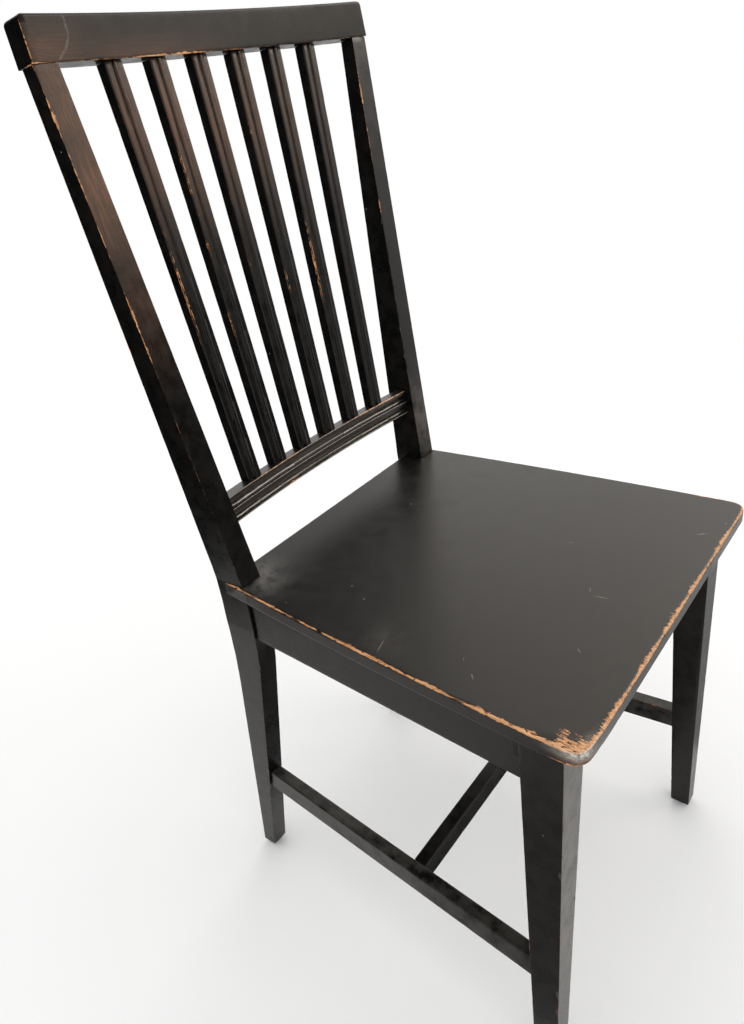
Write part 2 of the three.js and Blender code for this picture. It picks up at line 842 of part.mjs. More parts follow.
function screwGeometry(length, grow) {
  return new THREE.LatheGeometry(screwProfile(length, grow), screwSegments);
}

const latheAxis = new THREE.Vector3(0, 1, 0);

function screwHole(place, length) {
  const turn = new THREE.Quaternion().setFromUnitVectors(latheAxis, place.way);
  const geometry = screwGeometry(length, touchGap);
  geometry.applyQuaternion(turn);
  geometry.translate(place.at.x, place.at.y, place.at.z);
  return solidFrom(geometry);
}

// Foot glides, each a low disc with a pin up into the leg
function glidePlaces() {
  const frontX = frontFootOuter - frontFootWidth / 2;
  const rearX = rearFootOuter - rearFootWidth / 2;
  const frontY = frontFootY + frontFootDepth / 2;
  const rearY = rearFootFrontY + rearFootDepth / 2;
  return [
    { name: 'front_left', x: frontX, y: frontY },
    { name: 'front_right', x: -frontX, y: frontY },
    { name: 'rear_left', x: rearX, y: rearY },
    { name: 'rear_right', x: -rearX, y: rearY },
  ];
}

function glideGeometry(grow) {
  const profile = [
    [0, 0],
    [glideRadius - glideEdge, 0],
    [glideRadius, glideEdge],
    [glideRadius, glideHeight],
    [glidePinRadius + grow, glideHeight],
    [glidePinRadius + grow, glidePinLength + grow],
    [0, glidePinLength + glidePinTip + grow],
  ].map(([radius, height]) => new THREE.Vector2(radius, height));
  return new THREE.LatheGeometry(profile, glideSegments).rotateX(Math.PI / 2);
}

function glideHole({ x, y }) {
  return solidFrom(glideGeometry(jointClearance).translate(x, y, 0));
}

// Assembly
const chair = new THREE.Group();
chair.name = 'chair';
const back = new THREE.Group();
back.name = 'back';
back.position.set(0, backStartY, seatTop);
back.rotation.x = -backRake;
chair.add(back);

function addPiece(parent, name, geometry, color, roughness = 0.45, metalness = 0) {
  const material = new THREE.MeshStandardMaterial({ color, roughness, metalness, name: `${name}_finish` });
  const mesh = new THREE.Mesh(geometry, material);
  mesh.name = name;
  parent.add(mesh);
  return mesh;
}

function addSolid(parent, name, solid, color) {
  return addPiece(parent, name, geometryFrom(solid), color);
}

// What is left of a side bar between the rear and the front leg
function betweenLegs(bar, side) {
  return largestOf(bar.subtract(rearLegBlank(side, touchGap)).subtract(frontLegBlank(side, touchGap)));
}

const glides = glidePlaces();
const corners = cornerPlaces();

addSolid(chair, 'seat', makeSeat(), paint);

for (const [sideName, side] of Object.entries(sideSigns)) {
  const tenonInBack = solidFrom(postTenon(side, 0).applyMatrix4(backFrame));
  const glideAt = (end) => glides.find(({ name }) => name === `${end}_${sideName}`);
  const railMortise = solidFrom(railTenon(side, jointClearance).applyMatrix4(backFrame));

  const rearLeg = rearLegBlank(side, 0)
    .intersect(belowCrest(touchGap))
    .add(tenonInBack)
    .subtract(railMortise)
    .subtract(sideApronTenons(side, jointClearance))
    .subtract(backApronTenons(jointClearance))
    .subtract(sideStretcherTenons(side, jointClearance))
    .subtract(glideHole(glideAt('rear')));
  addSolid(chair, `rear_leg_${sideName}`, rearLeg, paint);

  const frontLeg = frontLegBlank(side, 0)
    .subtract(sideApronTenons(side, jointClearance))
    .subtract(frontApronTenons(jointClearance))
    .subtract(sideStretcherTenons(side, jointClearance))
    .subtract(glideHole(glideAt('front')));
  addSolid(chair, `front_leg_${sideName}`, frontLeg, wornPaint);

  const apronBlank = sideBar(side, apronLine, 0, apronBottom, apronTop, seatBackY, frontLegY);
  let apron = betweenLegs(apronBlank, side).add(sideApronTenons(side, 0));
  for (const corner of corners.filter((each) => each.side === side)) {
    for (const place of blockScrewPlaces(corner)) {
      apron = apron.subtract(screwHole(place, blockScrewLength));
    }
  }
  addSolid(chair, `apron_${sideName}`, apron, paint);

  const bar = sideBar(side, stretcherLine, 0, stretcherBottom, stretcherTop, rearFootFrontY, frontLegY);
  const stretcher = betweenLegs(bar, side)
    .add(sideStretcherTenons(side, 0))
    .subtract(crossStretcherTenons(jointClearance));
  addSolid(chair, `side_stretcher_${sideName}`, stretcher, paint);
}

function endApron(name, blank, legBlank, tenons, ends) {
  let apron = blank;
  for (const side of Object.values(sideSigns)) {
    apron = apron.subtract(legBlank(side, touchGap));
  }
  apron = largestOf(apron).add(tenons);
  for (const corner of corners.filter((each) => each.name.startsWith(ends))) {
    for (const place of blockScrewPlaces(corner)) {
      apron = apron.subtract(screwHole(place, blockScrewLength));
    }
  }
  addSolid(chair, name, apron, paint);
}

const frontApronBlank = crossBar(frontApronY, apronThickness, 0, apronBottom, apronTop, frontLegOuter);
const backApronBlank = crossBar(backApronY, apronThickness, 0, apronBottom, apronTop, rearSeatOuter);
endApron('apron_front', frontApronBlank, frontLegBlank, frontApronTenons(0), 'front');
endApron('apron_back', backApronBlank, rearLegBlank, backApronTenons(0), 'rear');

let crossStretcher = crossBar(
  crossStretcherY - stretcherThickness,
  stretcherThickness,
  0,
  stretcherBottom,
  stretcherTop,
  crossEnd + stretcherThickness,
);
for (const side of Object.values(sideSigns)) {
  const low = stretcherBottom - margin;
  const high = stretcherTop + margin;
  crossStretcher = crossStretcher.subtract(
    sideBar(side, stretcherLine, -touchGap, low, high, stretcherRearY, stretcherFrontY),
  );
}
crossStretcher = largestOf(crossStretcher).add(crossStretcherTenons(0));
addSolid(chair, 'cross_stretcher', crossStretcher, paint);

addSolid(back, 'crest_rail', makeCrestRail(), paint);
addSolid(back, 'lower_back_rail', makeLowerRail(), paint);
slatPlaces().forEach((slat, index) => {
  addSolid(back, `back_slat_${index + 1}`, makeSlat(slat), paint);
});

for (const corner of corners) {
  addSolid(chair, `corner_block_${corner.name}`, makeCornerBlock(corner), paint);
  const screws = blockScrewPlaces(corner).map((place) => ({ place, length: blockScrewLength }));
  screws.push({ place: seatScrewPlace(corner), length: seatScrewLength });
  for (const { place, length } of screws) {
    const screw = addPiece(chair, place.name, screwGeometry(length, 0), bareSteel, 0.35, 0.8);
    screw.position.copy(place.at);
    screw.quaternion.setFromUnitVectors(latheAxis, place.way);
  }
}

for (const { name, x, y } of glides) {
  const glide = addPiece(chair, `foot_glide_${name}`, glideGeometry(0), glidePlastic, 0.6);
  glide.position.set(x, y, 0);
}

// The origin lies on the floor under the middle of the whole chair
const bounds = new THREE.Box3().setFromObject(chair, true);
chair.position.y = -(bounds.min.y + bounds.max.y) / 2;

export default chair;
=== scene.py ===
"""Looks of a slat-back dining chair: worn charcoal paint over stained pine, round arrises, rubbed edges."""

import logging
import math
from dataclasses import dataclass
from enum import Enum

import bmesh
import bpy
import numpy as np
from mathutils import Euler, Matrix, Vector, noise


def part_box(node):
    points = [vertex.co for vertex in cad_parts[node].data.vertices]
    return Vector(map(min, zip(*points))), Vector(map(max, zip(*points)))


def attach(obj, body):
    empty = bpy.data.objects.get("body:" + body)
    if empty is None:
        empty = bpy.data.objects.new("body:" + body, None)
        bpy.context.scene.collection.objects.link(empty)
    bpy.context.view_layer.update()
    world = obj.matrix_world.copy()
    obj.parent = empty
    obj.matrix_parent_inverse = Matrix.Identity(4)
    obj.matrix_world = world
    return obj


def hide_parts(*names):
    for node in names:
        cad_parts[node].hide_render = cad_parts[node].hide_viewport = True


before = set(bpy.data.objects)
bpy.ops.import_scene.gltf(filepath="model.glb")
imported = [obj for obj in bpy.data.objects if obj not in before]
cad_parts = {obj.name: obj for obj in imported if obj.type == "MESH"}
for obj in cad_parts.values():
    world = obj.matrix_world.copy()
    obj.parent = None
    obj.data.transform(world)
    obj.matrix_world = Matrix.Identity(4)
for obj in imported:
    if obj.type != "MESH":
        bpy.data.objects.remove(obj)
log = logging.getLogger("chair")

Colour = tuple[float, float, float, float]
Point = tuple[float, float, float]

FORWARDS: Point = (0.0, -1.0, 0.0)
# The way the seat corner's painted highlight looks
OUTWARDS: Point = (-0.66, -0.66, 0.35)

MM = 0.001
WELD = 0.00001
FLAT_ANGLE = math.radians(0.1)
SMOOTH_ANGLE = math.radians(50)
FAR_FROM_ARRIS = 60 * MM
ROUND_WEAR = 5 * MM


class Grain(Enum):
    """The way a board's grain and brush strokes run."""

    ACROSS = 0
    BACKWARDS = 1
    UPWARDS = 2


def srgb(red: int, green: int, blue: int) -> Colour:
    """Turns a colour as seen on a screen into the linear one a shader takes.

    Args:
        red, green, blue: parts from 0 to 255.

    Returns:
        Linear red, green, blue and an alpha of 1.
    """
    parts = []
    for part in (red / 255, green / 255, blue / 255):
        parts.append(part / 12.92 if part <= 0.04045 else ((part + 0.055) / 1.055) ** 2.4)
    return (*parts, 1.0)


@dataclass(frozen=True)
class WornPlace:
    """A place where hands, feet and knocks have taken the paint further than elsewhere, or where a painted
    reflection or a painted highlight is laid on.

    centre and reach are metres in the chair's own frame; bare is how far in millimetres the
    paint has gone back from the nearest arris, sunk is how far in metres the arris has worn
    round, rubbed is a share of brown undercoat, haze a share of grey that is dust in most places
    and a painted reflection on a front leg, and polish a share of pale colour that is a painted
    highlight. Those three keep to the faces that look towards facing, where it is given.
    """

    centre: Point
    reach: Point
    bare: float = 0.0
    sunk: float = 0.0
    rubbed: float = 0.0
    dust_and_sheen: float = 0.0
    painted_highlight: float = 0.0
    facing: Point | None = None

    def strength(self, places: np.ndarray) -> np.ndarray:
        """Says how strongly each place is worn.

        Args:
            places: vertex places, one row each.

        Returns:
            A share from 0 to 1 for each row, 1 at the centre.
        """
        away = (places - np.array(self.centre)) / np.array(self.reach)
        return np.exp(-(away ** 2).sum(axis=1))

    def faced(self, normals: np.ndarray) -> np.ndarray:
        """Says how far each place looks the way that this wear is seen from.

        Args:
            normals: vertex normals, one row each.

        Returns:
            A share from 0 to 1 for each row.
        """
        if self.facing is None:
            return np.ones(len(normals))
        return np.clip(1.8 * (normals @ np.array(self.facing)) - 0.6, 0.0, 1.0)


class Facing(Enum):
    """Which way the face with a scratch looks."""

    UP = "up"
    FRONT = "front"


@dataclass(frozen=True)
class Scratch:
    """A short pale scratch: its middle, its turn in degrees on its face, its size and its paleness."""

    middle: Point
    turn: float
    length: float
    width: float = 0.8 * MM
    facing: Facing = Facing.UP
    strength: float = 0.8

    def place(self, mapping: bpy.types.Node) -> None:
        """Sets a texture mapping so that the scratch lies within 1 of its origin."""
        half_length, half_width, through = self.length / 2, self.width / 2, 20 * MM
        mapping.inputs["Location"].default_value = self.middle
        turn = math.radians(self.turn)
        if self.facing is Facing.UP:
            mapping.inputs["Rotation"].default_value = (0.0, 0.0, turn)
            mapping.inputs["Scale"].default_value = (half_length, half_width, through)
        else:
            mapping.inputs["Rotation"].default_value = (0.0, -turn, 0.0)
            mapping.inputs["Scale"].default_value = (half_length, through, half_width)


class Recipe:
    """A material's nodes, added and joined by short calls."""

    def __init__(self, name: str) -> None:
        """Starts an empty material with a surface shader.

        Args:
            name: the material's name.
        """
        self.material = bpy.data.materials.new(name)
        self.material.use_nodes = True
        self.nodes = self.material.node_tree.nodes
        self.links = self.material.node_tree.links
        self.shader = self.nodes["Principled BSDF"]

    def add(self, kind: str, **settings: object) -> bpy.types.Node:
        """Adds a node and sets its plain properties.

        Args:
            kind: the node's type name.
            settings: properties by name.

        Returns:
            The node.
        """
        node = self.nodes.new(kind)
        for key, value in settings.items():
            setattr(node, key, value)
        return node

    def feed(self, socket: bpy.types.NodeSocket, value: object) -> None:
        """Joins a socket to an input, or sets the input's own value."""
        if isinstance(value, bpy.types.NodeSocket):
            self.links.new(value, socket)
        else:
            socket.default_value = value

    def attribute(self, name: str, part: str = "Fac") -> bpy.types.NodeSocket:
        """Reads one of the mesh's own values by name."""
        return self.add("ShaderNodeAttribute", attribute_name=name).outputs[part]

    def stretched(self, vector: bpy.types.NodeSocket, scale: Point) -> bpy.types.NodeSocket:
        """Stretches a pattern's place by a scale for each axis."""
        node = self.add("ShaderNodeMapping")
        self.feed(node.inputs["Vector"], vector)
        node.inputs["Scale"].default_value = scale
        return node.outputs["Vector"]

    def cloud(
        self,
        vector: bpy.types.NodeSocket,
        scale: float,
        detail: float = 3.0,
        roughness: float = 0.55,
        distortion: float = 0.0,
    ) -> bpy.types.NodeSocket:
        """Adds cloudy noise.

        Args:
            vector: where the noise is read.
            scale: cells to a unit of the vector.
            detail: how many finer layers it has.
            roughness: how strong the finer layers are.
            distortion: how far it is warped.

        Returns:
            The noise's height, about 0.3 to 0.7.
        """
        node = self.add("ShaderNodeTexNoise")
        self.feed(node.inputs["Vector"], vector)
        node.inputs["Scale"].default_value = scale
        node.inputs["Detail"].default_value = detail
        node.inputs["Roughness"].default_value = roughness
        node.inputs["Distortion"].default_value = distortion
        return node.outputs["Fac"]

    def math(self, operation: str, first: object, second: object = 0.0) -> bpy.types.NodeSocket:
        """Works out one sum of two values."""
        node = self.add("ShaderNodeMath", operation=operation)
        self.feed(node.inputs[0], first)
        self.feed(node.inputs[1], second)
        return node.outputs[0]

    def between(
        self, value: object, low: object, high: object, out_low: float = 0.0, out_high: float = 1.0
    ) -> bpy.types.NodeSocket:
        """Turns a range of values smoothly into another, and holds it there outside."""
        node = self.add("ShaderNodeMapRange", interpolation_type="SMOOTHSTEP")
        self.feed(node.inputs["Value"], value)
        self.feed(node.inputs["From Min"], low)
        self.feed(node.inputs["From Max"], high)
        node.inputs["To Min"].default_value = out_low
        node.inputs["To Max"].default_value = out_high
        return node.outputs["Result"]

    def blend(self, share: object, first: object, second: object) -> bpy.types.NodeSocket:
        """Mixes two colours by a share of the second."""
        node = self.add("ShaderNodeMix", data_type="RGBA")
        self.feed(node.inputs["Factor"], share)
        self.feed(node.inputs["A"], first)
        self.feed(node.inputs["B"], second)
        for output in node.outputs:
            if output.type == "RGBA":
                return output
        raise ValueError("the mix has no colour output")

    def bumps(self, height: object, distance: float, strength: float, under: object = None) -> object:
        """Adds a bump from a height, over another bump where there is one."""
        node = self.add("ShaderNodeBump")
        node.inputs["Distance"].default_value = distance
        node.inputs["Strength"].default_value = strength
        self.feed(node.inputs["Height"], height)
        if under is not None:
            self.feed(node.inputs["Normal"], under)
        return node.outputs["Normal"]


@dataclass(frozen=True)
class WornPaint:
    """Satin charcoal paint, thinned to a brown undercoat in places, worn to bare pine at arrises, greyed by
    dust, with a painted reflection and a painted highlight laid on in places.
    """

    name: str
    charcoal: Colour = srgb(11, 10, 10)
    faded: Colour = srgb(20, 19, 18)
    undercoat: Colour = srgb(88, 62, 48)
    copper: Colour = srgb(114, 78, 57)
    rust: Colour = srgb(134, 84, 54)
    pine: Colour = srgb(224, 172, 124)
    pine_streak: Colour = srgb(176, 118, 74)
    # Grey of dust; on the right front leg it also stands for a painted reflection of the floor
    dust_and_sheen: Colour = srgb(150, 145, 137)
    # Pale colour of the painted highlight on the seat's worn corner, standing for light shining off it
    painted_highlight: Colour = srgb(224, 219, 210)
    mark: Colour = srgb(158, 152, 142)
    sheen_tint: Colour = (1.0, 0.93, 0.84, 1.0)
    sheen: float = 0.26
    roughness: float = 0.3
    mottling: float = 0.1
    brushing: float = 0.12
    fleck_share: float = 0.06
    scratches: tuple[Scratch, ...] = ()

    def material(self) -> bpy.types.Material:
        """Builds the paint's nodes.

        Returns:
            The material, which reads grain_place, arris_gap, bare_reach, rubbed, haze (grey of dust, and of
            a painted reflection on a front leg) and polish (a painted highlight).
        """
        made = Recipe(self.name)
        place = made.attribute("grain_place", "Vector")
        streak_place = made.stretched(place, (1.0, 1.0, 0.03))
        ragged_place = made.stretched(place, (1.0, 1.0, 0.4))

        broad = made.cloud(place, 22, 2)
        ragged = made.cloud(ragged_place, 420, 5, 0.7, 0.4)
        streaks = made.cloud(streak_place, 1000, 4, 0.6)
        mottle = made.cloud(place, 60, 4, 0.6)

        bare, edge = self.bare_mask(made, broad, ragged, streaks)
        rubbed = self.rubbed_mask(made, streaks, mottle)
        streaked = made.between(streaks, 0.3, 0.6, 0.65, 1.0)
        clouded = made.math("MULTIPLY", made.between(mottle, 0.3, 0.65), streaked)
        # Grey haze: dust, and on a front leg a painted reflection
        dust_and_sheen = made.math("MULTIPLY", made.attribute("dust_and_sheen"), clouded)
        # Painted highlight: pale colour where the rounded corner shines
        painted_highlight = made.math("MULTIPLY", made.attribute("painted_highlight"), made.between(ragged, 0.35, 0.6, 0.3, 1.0))

        paint = made.blend(made.between(mottle, 0.35, 0.7), self.charcoal, self.faded)
        paint = made.blend(dust_and_sheen, paint, self.dust_and_sheen)
        brown = made.blend(made.between(streaks, 0.38, 0.68), self.undercoat, self.copper)
        paint = made.blend(rubbed, paint, brown)
        paint = made.blend(edge, paint, self.rust)
        wood = made.blend(made.between(streaks, 0.4, 0.62), self.pine, self.pine_streak)
        colour = made.blend(bare, paint, wood)
        # Lays the painted highlight over the paint and the bare wood
        colour = made.blend(painted_highlight, colour, self.painted_highlight)

        marks = self.marks(made, place)
        colour = made.blend(marks, colour, self.mark)
        made.feed(made.shader.inputs["Base Color"], colour)

        low, high = self.roughness - self.mottling / 2, self.roughness + self.mottling / 2
        rough = made.between(mottle, 0.3, 0.7, low, high)
        rough = made.math("ADD", rough, made.math("MULTIPLY", bare, 0.25))
        rough = made.math("ADD", rough, made.math("MULTIPLY", dust_and_sheen, 0.15))
        made.feed(made.shader.inputs["Roughness"], rough)
        made.shader.inputs["Specular IOR Level"].default_value = self.sheen
        made.shader.inputs["Specular Tint"].default_value = self.sheen_tint

        brushed = made.bumps(streaks, 0.15 * MM, self.brushing)
        coat = made.math("SUBTRACT", 1.0, bare)
        made.feed(made.shader.inputs["Normal"], made.bumps(coat, 0.25 * MM, 0.7, brushed))
        return made.material

    def bare_mask(
        self,
        made: Recipe,
        broad: bpy.types.NodeSocket,
        ragged: bpy.types.NodeSocket,
        streaks: bpy.types.NodeSocket,
    ) -> tuple[bpy.types.NodeSocket, bpy.types.NodeSocket]:
        """Finds where the paint is gone from an arris.

        Args:
            made: the material under way.
            broad: noise that leaves long stretches whole.
            ragged: noise that frays the paint's edge.
            streaks: noise along the grain.

        Returns:
            The bare share, and the share of thinned paint round it.
        """
        gap = made.attribute("arris_gap")
        reach = made.attribute("bare_reach")
        spread = made.between(broad, 0.38, 0.62, 0.25, 1.25)
        fray = made.between(ragged, 0.32, 0.68, 0.0, 1.6)
        fray = made.math("ADD", fray, made.between(streaks, 0.35, 0.65, -0.3, 0.3))
        edge_of_paint = made.math("MULTIPLY", made.math("MULTIPLY", reach, spread), fray)
        past = made.math("SUBTRACT", edge_of_paint, gap)
        bare = made.between(past, 0.0, 0.3)
        thin = made.between(past, -0.45, 0.1)
        stretches = made.between(broad, 0.44, 0.58)
        thin = made.math("MULTIPLY", thin, made.between(reach, 0.3, 1.5, 0.0, 0.8))
        return bare, made.math("MULTIPLY", thin, stretches)

    def rubbed_mask(
        self, made: Recipe, streaks: bpy.types.NodeSocket, mottle: bpy.types.NodeSocket
    ) -> bpy.types.NodeSocket:
        """Finds where hands have thinned the paint to its undercoat.

        Args:
            made: the material under way.
            streaks: noise along the grain.
            mottle: cloudy noise.

        Returns:
            The thinned share.
        """
        rubbed = made.attribute("rubbed")
        texture = made.between(streaks, 0.3, 0.7, 0.7, 1.0)
        texture = made.math("MULTIPLY", texture, made.between(mottle, 0.25, 0.6, 0.7, 1.0))
        return made.math("MULTIPLY", rubbed, texture)

    def marks(self, made: Recipe, place: bpy.types.NodeSocket) -> bpy.types.NodeSocket:
        """Draws pale flecks and the placed scratches.

        Args:
            made: the material under way.
            place: where the flecks are read.

        Returns:
            The share of pale mark.
        """
        cells = made.add("ShaderNodeTexVoronoi", feature="F1")
        made.feed(cells.inputs["Vector"], place)
        cells.inputs["Scale"].default_value = 70
        small = made.between(cells.outputs["Distance"], 0.03, 0.055, 1.0, 0.0)
        split = made.add("ShaderNodeSeparateColor")
        made.feed(split.inputs["Color"], cells.outputs["Color"])
        chosen = made.math("LESS_THAN", split.outputs[0], self.fleck_share)
        mark = made.math("MULTIPLY", made.math("MULTIPLY", small, chosen), 0.7)
        if not self.scratches:
            return mark
        coordinates = made.add("ShaderNodeTexCoord").outputs["Object"]
        broken = made.between(made.cloud(coordinates, 900, 3), 0.35, 0.6)
        for scratch in self.scratches:
            local = made.add("ShaderNodeMapping", vector_type="TEXTURE")
            made.feed(local.inputs["Vector"], coordinates)
            scratch.place(local)
            size = made.add("ShaderNodeVectorMath", operation="LENGTH")
            made.feed(size.inputs[0], local.outputs["Vector"])
            near = made.between(size.outputs["Value"], 0.4, 1.0, scratch.strength, 0.0)
            mark = made.math("MAXIMUM", mark, made.math("MULTIPLY", near, broken))
        return mark


@dataclass(frozen=True)
class ScrewSteel:
    """Plain zinc-bright steel of the hidden screws."""

    name: str = "screw_steel_finish"
    bright: Colour = srgb(176, 174, 168)
    dull: Colour = srgb(128, 126, 120)

    def material(self) -> bpy.types.Material:
        """Builds the steel's nodes."""
        made = Recipe(self.name)
        place = made.add("ShaderNodeTexCoord").outputs["Object"]
        wear = made.cloud(place, 900, 3)
        made.feed(made.shader.inputs["Base Color"], made.blend(wear, self.bright, self.dull))
        made.feed(made.shader.inputs["Roughness"], made.between(wear, 0.3, 0.7, 0.25, 0.5))
        made.shader.inputs["Metallic"].default_value = 1.0
        return made.material


@dataclass(frozen=True)
class GlidePlastic:
    """Scuffed black plastic of the foot glides."""

    name: str = "glide_plastic_finish"
    fresh: Colour = srgb(36, 35, 33)
    scuffed: Colour = srgb(84, 81, 76)

    def material(self) -> bpy.types.Material:
        """Builds the plastic's nodes."""
        made = Recipe(self.name)
        place = made.add("ShaderNodeTexCoord").outputs["Object"]
        scuffs = made.cloud(place, 600, 5, 0.7)
        made.feed(made.shader.inputs["Base Color"], made.blend(scuffs, self.fresh, self.scuffed))
        made.feed(made.shader.inputs["Roughness"], made.between(scuffs, 0.3, 0.7, 0.5, 0.8))
        made.feed(made.shader.inputs["Normal"], made.bumps(scuffs, 0.1 * MM, 0.4))
        return made.material


def segment_gap(places: np.ndarray, start: np.ndarray, end: np.ndarray) -> np.ndarray:
    """Measures how far each place lies from one straight edge.

    Args:
        places: vertex places, one row each.
        start, end: the edge's ends.

    Returns:
        A distance for each row.
    """
    along = end - start
    share = ((places - start) @ along) / (along @ along)
    nearest = start + np.clip(share, 0.0, 1.0)[:, None] * along
    return np.linalg.norm(places - nearest, axis=1)


@dataclass
class Timber:
    """One painted board or bar, remade from its CAD node with round, worn arrises."""

    node: str
    grain: Grain
    slot: str = "frame_paint"
    arris: float = 1.4 * MM
    arris_steps: int = 3
    arris_angle: float = math.radians(40)
    line_angle: float = math.radians(40)
    cell_along: float = 7 * MM
    cell_across: float = 3 * MM
    bare: float = 0.5
    knocks: float = 0.35 * MM
    worn_places: tuple[WornPlace, ...] = ()

    def make(self, finish: bpy.types.Material) -> bpy.types.Object:
        """Builds the piece and puts it in its CAD node's place.

        Args:
            finish: the material it wears.

        Returns:
            The finished piece.
        """
        body = self.welded_copy()
        edges = self.arris_lines(body)
        self.round_arrises(body)
        self.cut_into_cells(body)
        mesh = bpy.data.meshes.new(f"{self.node}_painted")
        body.to_mesh(mesh)
        body.free()
        piece = bpy.data.objects.new(f"{self.node}_painted", mesh)
        bpy.context.scene.collection.objects.link(piece)
        self.weather(mesh, edges)
        for polygon in mesh.polygons:
            polygon.use_smooth = True
        mesh.set_sharp_from_angle(angle=SMOOTH_ANGLE)
        mesh.materials.append(finish)
        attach(piece, "root")
        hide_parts(self.node)
        log.info("%s: %d faces", piece.name, len(mesh.polygons))
        return piece

    def welded_copy(self) -> bmesh.types.BMesh:
        """Copies the CAD node's mesh, welds it and joins its flat faces again."""
        body = bmesh.new()
        body.from_mesh(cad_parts[self.node].data)
        bmesh.ops.remove_doubles(body, verts=body.verts[:], dist=WELD)
        bmesh.ops.dissolve_limit(
            body,
            angle_limit=FLAT_ANGLE,
            verts=body.verts[:],
            edges=body.edges[:],
        )
        return body

    def sharp_edges(self, body: bmesh.types.BMesh, angle: float) -> list[bmesh.types.BMEdge]:
        """Lists the outward edges that are sharper than an angle and long enough to be an arris."""
        return [
            edge
            for edge in body.edges
            if edge.is_manifold
            and edge.is_convex
            and edge.calc_face_angle(0.0) > angle
            and edge.calc_length() > 2 * self.arris
        ]

    def arris_lines(self, body: bmesh.types.BMesh) -> list[tuple[np.ndarray, np.ndarray]]:
        """Notes where the arrises run before they are rounded."""
        return [
            (np.array(edge.verts[0].co), np.array(edge.verts[1].co))
            for edge in self.sharp_edges(body, self.line_angle)
        ]

    def round_arrises(self, body: bmesh.types.BMesh) -> None:
        """Rounds every arris with the board's own radius, unless the CAD node is round already."""
        if not self.arris_steps:
            return
        bmesh.ops.bevel(
            body,
            geom=self.sharp_edges(body, self.arris_angle),
            offset=self.arris,
            offset_type="OFFSET",
            segments=self.arris_steps,
            profile=0.5,
            affect="EDGES",
            clamp_overlap=True,
            material=-1,
        )

    def cut_into_cells(self, body: bmesh.types.BMesh) -> None:
        """Cuts the faces into small cells, which carry the wear and the knocks."""
        axes = [self.grain] + [axis for axis in Grain if axis is not self.grain]
        for axis in axes:
            cell = self.cell_along if axis is self.grain else self.cell_across
            self.slice_along(body, axis.value, cell)

    def slice_along(self, body: bmesh.types.BMesh, axis: int, cell: float) -> None:
        """Slices the board by even planes square to one axis, each through what is left uncut.

        Args:
            body: the mesh under way.
            axis: 0, 1 or 2 for X, Y or Z.
            cell: about how far apart the planes lie.
        """
        normal = Vector((0.0, 0.0, 0.0))
        normal[axis] = 1.0
        reach = [vertex.co[axis] for vertex in body.verts]
        low, high = min(reach), max(reach)
        count = int((high - low) / cell)
        rest = body.verts[:] + body.edges[:] + body.faces[:]
        for step in range(1, count + 1):
            height = low + (high - low) * step / (count + 1)
            cut = bmesh.ops.bisect_plane(
                body,
                geom=rest,
                dist=WELD,
                plane_co=normal * height,
                plane_no=normal,
            )
            rest = [part for part in cut["geom"] if self.reaches(part, axis, height - WELD)]

    @staticmethod
    def reaches(part: object, axis: int, height: float) -> bool:
        """Says whether a vertex, edge or face goes past a height along an axis."""
        if isinstance(part, bmesh.types.BMVert):
            return part.co[axis] > height
        return any(vertex.co[axis] > height for vertex in part.verts)

    def centre_line(self, places: np.ndarray) -> np.ndarray:
        """Finds the middle of the board beside each place, in bands along its grain.

        Args:
            places: vertex places, one row each.

        Returns:
            The middle for each row.
        """
        along = places[:, self.grain.value]
        low, high = along.min(), along.max()
        bands = np.linspace(low, high, 13)
        middles = []
        for start, end in zip(bands[:-1], bands[1:]):
            chosen = places[(along >= start) & (along <= end)]
            middles.append((chosen.min(axis=0) + chosen.max(axis=0)) / 2)
        middles = np.array(middles)
        middle = np.zeros_like(places)
        for axis in range(3):
            if axis != self.grain.value:
                middle[:, axis] = np.interp(along, middles[:, self.grain.value], middles[:, axis])
        return middle

    def weather(self, mesh: bpy.types.Mesh, edges: list[tuple[np.ndarray, np.ndarray]]) -> None:
        """Knocks the arrises in a little and writes what the paint reads.

        Args:
            mesh: the piece's mesh.
            edges: where the arrises ran.
        """
        places = np.zeros(len(mesh.vertices) * 3)
        mesh.vertices.foreach_get("co", places)
        places = places.reshape(-1, 3)
        gap = np.full(len(places), FAR_FROM_ARRIS)
        for start, end in edges:
            gap = np.minimum(gap, segment_gap(places, start, end))
        normals = np.zeros(len(places) * 3)
        mesh.vertices.foreach_get("normal", normals)
        normals = normals.reshape(-1, 3)
        self.knock(mesh, places, normals, gap)

        local = places - self.centre_line(places)
        order = [axis for axis in range(3) if axis != self.grain.value] + [self.grain.value]
        seed = Vector(places.mean(axis=0))
        shift = np.array([noise.noise(seed * 7.3), noise.noise(seed * 9.1), 0.0]) * 3
        grain_place = local[:, order] + shift

        bare = np.full(len(places), self.bare)
        tones = {name: np.zeros(len(places)) for name in ("rubbed", "dust_and_sheen", "painted_highlight")}
        for spot in self.worn_places:
            strength = spot.strength(places)
            bare += spot.bare * strength
            seen = strength * spot.faced(normals)
            for name, values in tones.items():
                np.maximum(values, getattr(spot, name) * seen, out=values)
        vector = mesh.attributes.new("grain_place", "FLOAT_VECTOR", "POINT")
        vector.data.foreach_set("vector", grain_place.ravel())
        tones["arris_gap"] = gap / MM
        tones["bare_reach"] = bare * self.shelter(places)
        for name, values in tones.items():
            mesh.attributes.new(name, "FLOAT", "POINT").data.foreach_set("value", values)

    def shelter(self, places: np.ndarray) -> np.ndarray:
        """Says how far each place is open to wear, 1 everywhere on a plain board."""
        return np.ones(len(places))

